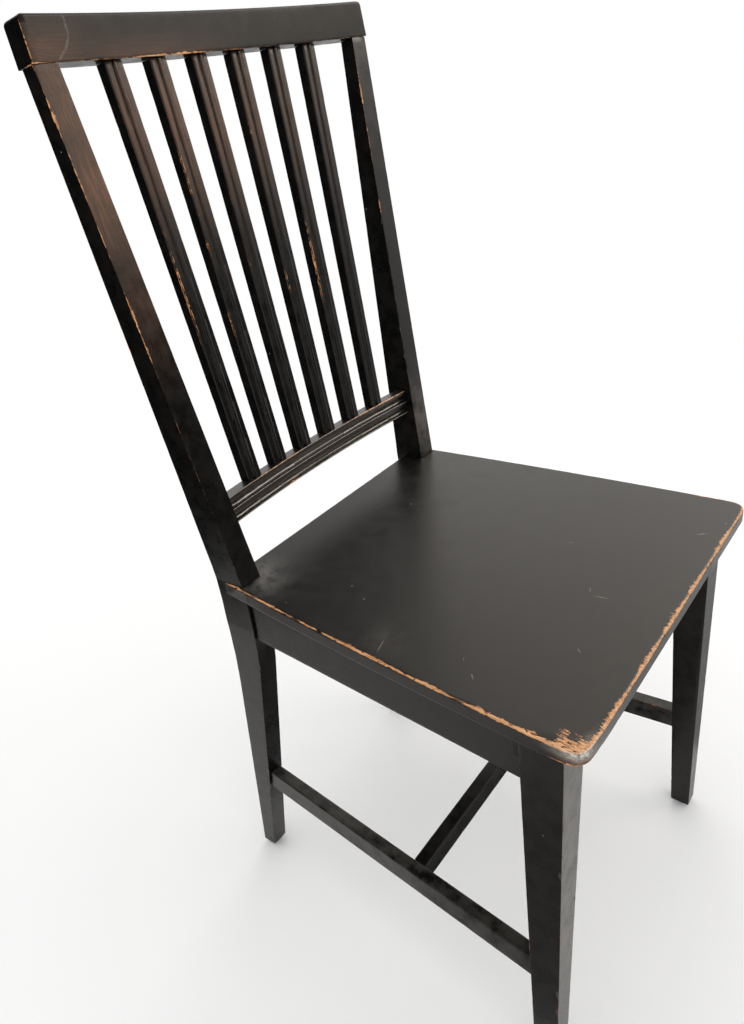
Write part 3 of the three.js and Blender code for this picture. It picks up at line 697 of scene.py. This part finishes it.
    def knock(
        self, mesh: bpy.types.Mesh, places: np.ndarray, normals: np.ndarray, gap: np.ndarray
    ) -> None:
        """Dents the arrises inwards here and there, and wears them round where they are sunk.

        Args:
            mesh: the piece's mesh.
            places: vertex places, one row each, which are moved too.
            normals: vertex normals, one row each.
            gap: how far each lies from an arris.
        """
        depth = np.zeros(len(places))
        reach = 2.5 * self.arris
        for index in np.nonzero(gap < reach)[0]:
            place = Vector(places[index])
            dent = noise.noise(place * 90) + 0.5 * noise.noise(place * 260) - 0.15
            depth[index] = max(0.0, min(dent, 1.0)) * (1 - gap[index] / reach) * self.knocks
        for spot in self.worn_places:
            depth += spot.sunk * spot.strength(places) * np.exp(-(gap / ROUND_WEAR) ** 2)
        places -= normals * depth[:, None]
        low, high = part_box(self.node)
        np.clip(places, np.array(low), np.array(high), out=places)
        mesh.vertices.foreach_set("co", places.ravel())


# Tan lines on each slat's arris: how high, how long and how far bare in millimetres
SLAT_LINES: dict[int, tuple[Point, ...]] = {
    1: ((0.75, 0.07, 0.35),),
    2: ((0.83, 0.06, 0.55), (0.712, 0.012, 0.8)),
    3: ((0.827, 0.008, 0.7), (0.754, 0.008, 0.8)),
    4: ((0.72, 0.015, 0.7), (0.883, 0.008, 0.7)),
    5: ((0.743, 0.045, 0.55),),
}


@dataclass
class Back:
    """The raked back: crest rail, moulded lower rail and six beaded slats."""

    front_y: float = 0.1335
    rake: float = math.radians(9.34)
    seat_top: float = 0.457
    rail_behind: float = 14 * MM
    slat_behind: float = 15 * MM
    slat_width: float = 20 * MM
    round_angle: float = math.radians(19)

    def spot(
        self, x: float, z: float, reach: Point, behind: float = 0.0, **wear: float | Point
    ) -> WornPlace:
        """Places wear on the front of the raked back.

        Args:
            x, z: where it lies across and up.
            reach: how far it spreads.
            behind: how far it lies behind the posts' front.
            wear: how bare, rubbed or hazy it is, and which way it looks.

        Returns:
            The worn place.
        """
        y = self.front_y + behind + (z - self.seat_top) * math.tan(self.rake)
        return WornPlace((x, y, z), reach, **wear)

    def crest_wear(self) -> tuple[WornPlace, ...]:
        """Lists the crest rail's worn places."""
        return (
            self.spot(0.06, 0.996, (0.13, 0.03, 0.012), bare=1.3),
            self.spot(0.18, 0.996, (0.05, 0.03, 0.012), bare=1.2),
            self.spot(-0.222, 0.975, (0.008, 0.014, 0.03), bare=0.6),
            self.spot(-0.045, 0.957, (0.018, 0.03, 0.008), bare=2.2),
            self.spot(-0.095, 0.957, (0.018, 0.03, 0.008), bare=1.5),
            self.spot(-0.205, 0.966, (0.045, 0.03, 0.022), rubbed=0.6, facing=FORWARDS),
            self.spot(-0.1, 0.963, (0.09, 0.03, 0.014), rubbed=0.45, facing=FORWARDS),
        )

    def rail_wear(self) -> tuple[WornPlace, ...]:
        """Lists the lower rail's worn places."""
        return (
            self.spot(0.085, 0.549, (0.06, 0.02, 0.004), self.rail_behind, bare=0.8),
            self.spot(0.13, 0.549, (0.012, 0.02, 0.004), self.rail_behind, bare=0.9),
            self.spot(-0.06, 0.549, (0.07, 0.02, 0.004), self.rail_behind, bare=0.35),
            self.spot(-0.0587, 0.518, (0.004, 0.02, 0.004), self.rail_behind, bare=2.2),
        )

    def slat_wear(self, number: int) -> tuple[WornPlace, ...]:
        """Lists one slat's worn places.

        Args:
            number: the slat, counted from the sitter's right.

        Returns:
            Its worn places.
        """
        x = (number - 3.5) * 0.051
        rubbed_top = {1: 0.62, 2: 0.78, 3: 0.66, 4: 0.5, 5: 0.3, 6: 0.2}[number]
        reach = (0.05, 0.05, 0.075)
        places = [self.spot(x, 0.905, reach, rubbed=rubbed_top, facing=FORWARDS)]
        for z, length, bare in SLAT_LINES.get(number, ()):
            places.append(self.slat_arris(number, z, length, bare))
        return tuple(places)

    def slat_arris(self, number: int, z: float, length: float, bare: float) -> WornPlace:
        """Places wear on a slat's front arris at the sitter's right.

        Args:
            number: the slat, counted from the sitter's right.
            z: how high it lies.
            length: how far it spreads along the slat.
            bare: how far the paint has gone back, in millimetres.

        Returns:
            The worn place.
        """
        low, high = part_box(f"back_slat_{number}")
        share = (z - low[2]) / (high[2] - low[2])
        if number <= 3:
            share = 1 - share
        x = low[0] + (high[0] - low[0] - self.slat_width) * share
        return self.spot(x, z, (0.007, 0.012, length), self.slat_behind, bare=bare)

    def make(
        self,
        finish: bpy.types.Material,
        crest_finish: bpy.types.Material,
        rail_finish: bpy.types.Material,
    ) -> None:
        """Builds the back's boards.

        Args:
            finish: the paint of the slats.
            crest_finish: duller paint with the crest rail's own scratches.
            rail_finish: glossier paint of the sheltered lower rail.
        """
        Timber(
            "crest_rail",
            Grain.ACROSS,
            line_angle=self.round_angle,
            bare=0.12,
            cell_across=3.5 * MM,
            worn_places=self.crest_wear(),
        ).make(crest_finish)
        Timber(
            "lower_back_rail",
            Grain.ACROSS,
            arris=0.8 * MM,
            line_angle=self.round_angle,
            cell_across=2.5 * MM,
            bare=0.0,
            worn_places=self.rail_wear(),
        ).make(rail_finish)
        for number in range(1, 7):
            Timber(
                f"back_slat_{number}",
                Grain.UPWARDS,
                arris=0.6 * MM,
                cell_across=2.5 * MM,
                bare=0.1,
                worn_places=self.slat_wear(number),
            ).make(finish)


@dataclass
class Legs:
    """The four legs, the rear ones also the back's posts."""

    def right_post_wear(self) -> tuple[WornPlace, ...]:
        """Lists the worn places of the post at the sitter's right."""
        return (
            WornPlace((-0.195, 0.2, 0.862), (0.03, 0.03, 0.06), rubbed=1.0, facing=FORWARDS),
            WornPlace((-0.2, 0.21, 0.93), (0.03, 0.03, 0.06), rubbed=0.8, facing=FORWARDS),
            WornPlace((-0.19, 0.18, 0.77), (0.03, 0.03, 0.06), rubbed=0.35, facing=FORWARDS),
            WornPlace((-0.21, 0.197, 0.85), (0.012, 0.02, 0.05), bare=0.5),
            WornPlace((-0.21, 0.181, 0.745), (0.012, 0.02, 0.022), bare=1.1),
            WornPlace((-0.208, 0.1764, 0.718), (0.012, 0.02, 0.006), bare=4.0),
            WornPlace((-0.216, 0.211, 0.92), (0.012, 0.02, 0.012), bare=1.4),
            WornPlace((-0.213, 0.204, 0.875), (0.012, 0.02, 0.03), bare=1.0),
        )

    def left_post_wear(self) -> tuple[WornPlace, ...]:
        """Lists the worn places of the post at the sitter's left."""
        return (
            WornPlace(
                (0.175, 0.143, 0.51), (0.03, 0.02, 0.05), rubbed=0.1, dust_and_sheen=0.25, facing=FORWARDS
            ),
            WornPlace((0.187, 0.206, 0.88), (0.018, 0.02, 0.05), bare=1.1),
            WornPlace((0.19, 0.19, 0.776), (0.012, 0.02, 0.005), bare=2.2),
        )

    def front_leg_dust_and_sheen(self, side: str) -> tuple[WornPlace, ...]:
        """Lists the grey on a front leg's front face, partly dust and partly a painted reflection of the
        floor.

        Args:
            side: left or right.

        Returns:
            Its places of grey.
        """
        x = 0.19 if side == "left" else -0.19
        # Painted reflection: the right leg's front face is greyed far more than the left's
        dust_and_sheen = 0.08 if side == "left" else 0.5
        return (WornPlace((x, -0.235, 0.26), (0.06, 0.03, 0.28), dust_and_sheen=dust_and_sheen, facing=FORWARDS),)

    def make(self, finish: bpy.types.Material) -> None:
        """Builds the legs."""
        Timber(
            "rear_leg_right",
            Grain.UPWARDS,
            bare=0.15,
            worn_places=self.right_post_wear(),
        ).make(finish)
        Timber(
            "rear_leg_left",
            Grain.UPWARDS,
            bare=0.1,
            worn_places=self.left_post_wear(),
        ).make(finish)
        for side in ("left", "right"):
            Timber(
                f"front_leg_{side}",
                Grain.UPWARDS,
                cell_across=4 * MM,
                bare=0.2,
                worn_places=self.front_leg_dust_and_sheen(side),
            ).make(finish)


@dataclass
class UnderFrame:
    """Aprons, stretchers and corner blocks."""

    def make(self, finish: bpy.types.Material) -> None:
        """Builds the boards under the seat."""
        scuffed = WornPlace((0.0, 0.0, 0.14), (0.5, 0.4, 0.1), dust_and_sheen=0.14)
        for side in ("left", "right"):
            Timber(f"apron_{side}", Grain.BACKWARDS, cell_across=4 * MM, bare=0.1).make(finish)
            Timber(
                f"side_stretcher_{side}",
                Grain.BACKWARDS,
                bare=0.3,
                worn_places=(scuffed,),
            ).make(finish)
        for end in ("front", "back"):
            Timber(f"apron_{end}", Grain.ACROSS, cell_across=4 * MM, bare=0.1).make(finish)
        Timber("cross_stretcher", Grain.ACROSS, bare=0.2).make(finish)
        for end in ("front", "rear"):
            for side in ("left", "right"):
                Timber(
                    f"corner_block_{end}_{side}",
                    Grain.ACROSS,
                    cell_along=8 * MM,
                    cell_across=8 * MM,
                    bare=0.1,
                ).make(finish)


@dataclass
class SeatBoard(Timber):
    """The seat, whose wear lies on its top and hardly on its upright edges."""

    top: float = 0.457
    edge_round: float = 2.5 * MM

    def shelter(self, places: np.ndarray) -> np.ndarray:
        """Says how far each place is open to wear.

        Args:
            places: vertex places, one row each.

        Returns:
            1 on the top, little below its rounded edge.
        """
        return np.where(places[:, 2] > self.top - self.edge_round, 1.0, 0.12)


@dataclass
class SeatPanel:
    """The flat seat with its worn front and near edges."""

    cell: float = 3 * MM
    top: float = 0.457

    def wear(self) -> tuple[WornPlace, ...]:
        """Lists the seat's worn places and the painted highlight on its near front corner."""
        top = self.top
        return (
            WornPlace((-0.2, -0.06, top), (0.03, 0.13, 0.02), bare=0.9),
            WornPlace((-0.212, -0.19, top), (0.03, 0.05, 0.02), bare=1.5),
            WornPlace((0.0, -0.254, top), (0.24, 0.03, 0.02), bare=2.0),
            WornPlace((-0.197, -0.239, top), (0.028, 0.022, 0.02), bare=14.0),
            WornPlace((-0.207, -0.246, top), (0.024, 0.022, 0.02), sunk=2.4 * MM),
            WornPlace((0.2, -0.235, top), (0.025, 0.03, 0.02), bare=7.0),
            # Painted highlight: pale shine on the near front corner's rounded arris, on the faces that look
            # outwards
            WornPlace(
                (-0.212, -0.25, top - 0.003), (0.022, 0.02, 0.0045), painted_highlight=1.0, facing=OUTWARDS
            ),
            WornPlace((-0.212, -0.25, top - 0.011), (0.02, 0.018, 0.007), rubbed=1.0),
            WornPlace((-0.212, -0.25, top - 0.014), (0.016, 0.014, 0.009), bare=9.0),
            WornPlace((-0.163, 0.138, top), (0.03, 0.03, 0.02), dust_and_sheen=0.5),
            WornPlace((-0.175, -0.045, top), (0.02, 0.02, 0.02), dust_and_sheen=0.08),
        )

    def make(self, finish: bpy.types.Material) -> None:
        """Builds the seat."""
        SeatBoard(
            "seat",
            Grain.BACKWARDS,
            slot="seat_paint",
            arris=1 * MM,
            arris_steps=0,
            line_angle=math.radians(20),
            cell_along=self.cell,
            cell_across=self.cell,
            bare=0.45,
            worn_places=self.wear(),
        ).make(finish)


SEAT_SCRATCHES = (
    Scratch((0.132, -0.231, 0.457), -48, 0.019, 1.3 * MM),
    Scratch((-0.021, -0.186, 0.457), -80, 0.018, 1.1 * MM),
    Scratch((-0.014, -0.172, 0.457), 20, 0.010),
    Scratch((0.055, -0.122, 0.457), -65, 0.012),
    Scratch((-0.185, -0.046, 0.457), 15, 0.024, 1.2 * MM),
    Scratch((-0.163, -0.12, 0.457), 30, 0.006),
    Scratch((-0.179, -0.138, 0.457), 40, 0.010, 1.1 * MM),
    Scratch((0.047, 0.0765, 0.457), 0, 0.0035, 2 * MM),
    Scratch((0.041, 0.0624, 0.457), 0, 0.003, 2 * MM),
    Scratch((-0.135, 0.0107, 0.457), 0, 0.0025, 2 * MM),
    Scratch((-0.123, 0.035, 0.457), 0, 0.0025, 2 * MM),
    Scratch((-0.103, -0.2, 0.457), 50, 0.008, 1.4 * MM),
)

CREST_SCRATCHES = (
    Scratch((-0.179, 0.22, 0.988), 88, 0.022, 3 * MM, Facing.FRONT, 0.32),
    Scratch((-0.1835, 0.219, 0.974), 55, 0.018, 3 * MM, Facing.FRONT, 0.32),
    Scratch((-0.192, 0.218, 0.966), 38, 0.016, 2.6 * MM, Facing.FRONT, 0.26),
)


@dataclass
class Fasteners:
    """The hidden screws and foot glides, which keep their CAD meshes."""

    def make(self) -> None:
        """Dresses the CAD nodes."""
        steel = ScrewSteel().material()
        plastic = GlidePlastic().material()
        for name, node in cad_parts.items():
            if "screw" in name:
                node.material_slots[0].material = steel
            elif "glide" in name:
                node.material_slots[0].material = plastic
            else:
                continue
            log.info("%s: dressed", name)


@dataclass
class Studio:
    """A plain pale floor, a soft room and the camera at the photograph's angle."""

    floor_half: float = 30.0
    floor_colour: Colour = (0.96, 0.96, 0.96, 1.0)
    mat_height: float = 0.5 * MM
    floor_near: float = 0.5
    floor_far: float = 2.2
    room_light: float = 1.0
    eye: Point = (-0.64317, -0.42848, 0.93346)
    turn: Point = (63.9728, 6.1851, -51.9647)
    lens: float = 28.7215
    shift: tuple[float, float] = (0.026298, -0.047070)

    def make(self) -> None:
        """Sets the stage."""
        self.lay_floor()
        self.fill_room()
        warm, warmer = (1.0, 0.95, 0.88), (1.0, 0.93, 0.85)
        front, seat, rail = (0.0, 0.15, 0.75), (0.0, 0.0, 0.45), (0.0, 0.1, 0.5)
        self.add_lamp("window_front_right", (1.9, -2.5, 1.6), front, 1.8, 13.0, warmer)
        self.add_lamp("window_back_right", (2.7, 0.95, 2.35), seat, 2.2, 13.0, warm)
        sheen_lamp = self.add_lamp("rail_sheen", (2.03, -0.98, 2.43), rail, 1.8, 70.0, warm)
        sheen_lamp.visible_diffuse = False
        # The screens and mats below are seen only in the paint's reflections: they are painted shade, dark
        # where the room and the floor under the chair were dark
        self.hang_screen("dark_screen_left", (-0.51, 0.66, 0.0), math.radians(34), 0.5, 2.0)
        self.hang_screen("dark_screen_low", (0.64, -1.05, 0.0), math.radians(34), 0.55, 0.92)
        self.lay_mat("dark_mat_under", (0.0, -0.02), (0.16, 0.16), 0.12)
        self.lay_mat("dark_mat_right", (-0.42, -0.11), (0.17, 0.13), 0.28)
        self.lay_mat("dark_mat_left", (0.55, -0.33), (0.25, 0.12), 0.42)
        self.set_camera()
        bpy.context.scene.view_settings.view_transform = "Standard"

    def lay_floor(self) -> None:
        """Lays a flat floor under the chair."""
        ground = bmesh.new()
        bmesh.ops.create_grid(ground, x_segments=1, y_segments=1, size=self.floor_half)
        mesh = bpy.data.meshes.new("floor")
        ground.to_mesh(mesh)
        ground.free()
        floor = bpy.data.objects.new("floor", mesh)
        bpy.context.scene.collection.objects.link(floor)
        mesh.materials.append(self.floor_finish())

    def floor_finish(self) -> bpy.types.Material:
        """Makes a matt floor, plain white away from the chair and clear to the camera from below.

        Returns:
            The floor's material.
        """
        made = Recipe("floor_finish")
        made.shader.inputs["Base Color"].default_value = self.floor_colour
        made.shader.inputs["Roughness"].default_value = 0.9
        made.shader.inputs["Specular IOR Level"].default_value = 0.0
        away = made.add("ShaderNodeVectorMath", operation="LENGTH")
        made.feed(away.inputs[0], made.add("ShaderNodeTexCoord").outputs["Object"])
        far = made.between(away.outputs["Value"], self.floor_near, self.floor_far)
        path = made.add("ShaderNodeLightPath")
        seen = made.math("MAXIMUM", path.outputs["Is Camera Ray"], path.outputs["Is Glossy Ray"])
        seen = made.math("MAXIMUM", seen, path.outputs["Is Transmission Ray"])
        white = made.add("ShaderNodeEmission")
        mixed = made.add("ShaderNodeMixShader")
        made.feed(mixed.inputs[0], made.math("MULTIPLY", far, seen))
        made.links.new(made.shader.outputs[0], mixed.inputs[1])
        made.links.new(white.outputs[0], mixed.inputs[2])
        below = made.add("ShaderNodeNewGeometry").outputs["Backfacing"]
        clear = made.add("ShaderNodeBsdfTransparent")
        whole = made.add("ShaderNodeMixShader")
        made.feed(whole.inputs[0], made.math("MULTIPLY", below, path.outputs["Is Camera Ray"]))
        made.links.new(mixed.outputs[0], whole.inputs[1])
        made.links.new(clear.outputs[0], whole.inputs[2])
        made.links.new(whole.outputs[0], made.nodes["Material Output"].inputs["Surface"])
        return made.material

    def fill_room(self) -> None:
        """Fills the room with even light, and shows it white behind the chair."""
        world = bpy.data.worlds.new("room")
        bpy.context.scene.world = world
        world.use_nodes = True
        nodes, links = world.node_tree.nodes, world.node_tree.links
        light = nodes["Background"]
        light.inputs["Color"].default_value = (1.0, 1.0, 1.0, 1.0)
        path = nodes.new("ShaderNodeLightPath")
        seen = nodes.new("ShaderNodeMath")
        seen.operation = "MAXIMUM"
        links.new(path.outputs["Is Camera Ray"], seen.inputs[0])
        links.new(path.outputs["Is Glossy Ray"], seen.inputs[1])
        seen_through = nodes.new("ShaderNodeMath")
        seen_through.operation = "MAXIMUM"
        links.new(seen.outputs[0], seen_through.inputs[0])
        links.new(path.outputs["Is Transmission Ray"], seen_through.inputs[1])
        strength = nodes.new("ShaderNodeMapRange")
        strength.inputs["To Min"].default_value = self.room_light
        strength.inputs["To Max"].default_value = 1.0
        links.new(seen_through.outputs[0], strength.inputs["Value"])
        links.new(strength.outputs["Result"], light.inputs["Strength"])

    def add_lamp(
        self, name: str, place: Point, target: Point, size: float, watts: float, tint: Point
    ) -> bpy.types.Object:
        """Hangs one soft square lamp.

        Args:
            name: the lamp's name.
            place: where it hangs.
            target: what it points at.
            size: its side.
            watts: its power.
            tint: its colour.

        Returns:
            The lamp.
        """
        data = bpy.data.lights.new(name, "AREA")
        data.shape = "SQUARE"
        data.size = size
        data.energy = watts
        data.color = tint
        lamp = bpy.data.objects.new(name, data)
        lamp.location = place
        lamp.rotation_euler = (Vector(target) - Vector(place)).to_track_quat("-Z", "Y").to_euler()
        bpy.context.scene.collection.objects.link(lamp)
        return lamp

    def hang_screen(self, name: str, foot: Point, turn: float, half: float, height: float) -> None:
        """Stands a dark screen where only the paint's sheen meets it.

        Args:
            name: the screen's name.
            foot: the middle of its lower edge.
            turn: how far it is turned from X.
            half: half its width.
            height: its height.
        """
        shape = bmesh.new()
        bmesh.ops.create_grid(shape, x_segments=1, y_segments=1, size=0.5)
        bmesh.ops.scale(shape, vec=(2 * half, height, 1.0), verts=shape.verts)
        bmesh.ops.rotate(shape, matrix=Matrix.Rotation(math.radians(90), 3, "X"), verts=shape.verts)
        bmesh.ops.rotate(shape, matrix=Matrix.Rotation(turn, 3, "Z"), verts=shape.verts)
        bmesh.ops.translate(shape, vec=Vector(foot) + Vector((0.0, 0.0, height / 2)), verts=shape.verts)
        self.show_in_sheen(name, shape, 0.005)

    def lay_mat(
        self, name: str, middle: tuple[float, float], half: tuple[float, float], shade: float
    ) -> None:
        """Lays a grey mat on the floor where only the paint's sheen meets it.

        Args:
            name: the mat's name.
            middle: where it lies on the floor.
            half: half its size each way.
            shade: how light its grey is.
        """
        shape = bmesh.new()
        bmesh.ops.create_grid(shape, x_segments=1, y_segments=1, size=0.5)
        bmesh.ops.scale(shape, vec=(2 * half[0], 2 * half[1], 1.0), verts=shape.verts)
        bmesh.ops.translate(shape, vec=(*middle, self.mat_height), verts=shape.verts)
        self.show_in_sheen(name, shape, shade)

    def show_in_sheen(self, name: str, shape: bmesh.types.BMesh, shade: float) -> None:
        """Makes a board of the stage that only the paint's sheen sees.

        Args:
            name: the board's name.
            shape: its mesh, which is used up.
            shade: how light its grey is.
        """
        mesh = bpy.data.meshes.new(name)
        shape.to_mesh(mesh)
        shape.free()
        screen = bpy.data.objects.new(name, mesh)
        bpy.context.scene.collection.objects.link(screen)
        made = Recipe(f"{name}_finish")
        made.shader.inputs["Base Color"].default_value = (shade, shade, shade, 1.0)
        made.shader.inputs["Specular IOR Level"].default_value = 0.0
        mesh.materials.append(made.material)
        screen.visible_camera = False
        screen.visible_diffuse = False
        screen.visible_shadow = False
        screen.visible_transmission = False

    def set_camera(self) -> None:
        """Stands the camera where the photograph was taken from."""
        data = bpy.data.cameras.new("camera")
        data.lens = self.lens
        data.sensor_width = 36.0
        data.shift_x, data.shift_y = self.shift
        data.clip_start = 0.01
        camera = bpy.data.objects.new("camera", data)
        camera.location = self.eye
        camera.rotation_euler = Euler([math.radians(angle) for angle in self.turn], "XYZ")
        bpy.context.scene.collection.objects.link(camera)
        bpy.context.scene.camera = camera


def main() -> None:
    """Builds the chair's looks piece by piece."""
    logging.basicConfig(level=logging.INFO, format="%(name)s: %(message)s")
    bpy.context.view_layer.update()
    frame_finish = WornPaint("frame_paint_finish").material()
    crest_finish = WornPaint(
        "crest_paint_finish",
        sheen=0.1,
        scratches=CREST_SCRATCHES,
    ).material()
    rail_finish = WornPaint(
        "rail_paint_finish",
        sheen=0.9,
        roughness=0.34,
        mottling=0.04,
        brushing=0.05,
    ).material()
    seat_finish = WornPaint(
        "seat_paint_finish",
        sheen=0.34,
        roughness=0.34,
        mottling=0.06,
        brushing=0.15,
        fleck_share=0.1,
        scratches=SEAT_SCRATCHES,
    ).material()
    SeatPanel().make(seat_finish)
    Back().make(frame_finish, crest_finish, rail_finish)
    Legs().make(frame_finish)
    UnderFrame().make(frame_finish)
    Fasteners().make()
    Studio().make()


if __name__ == "__main__":
    main()
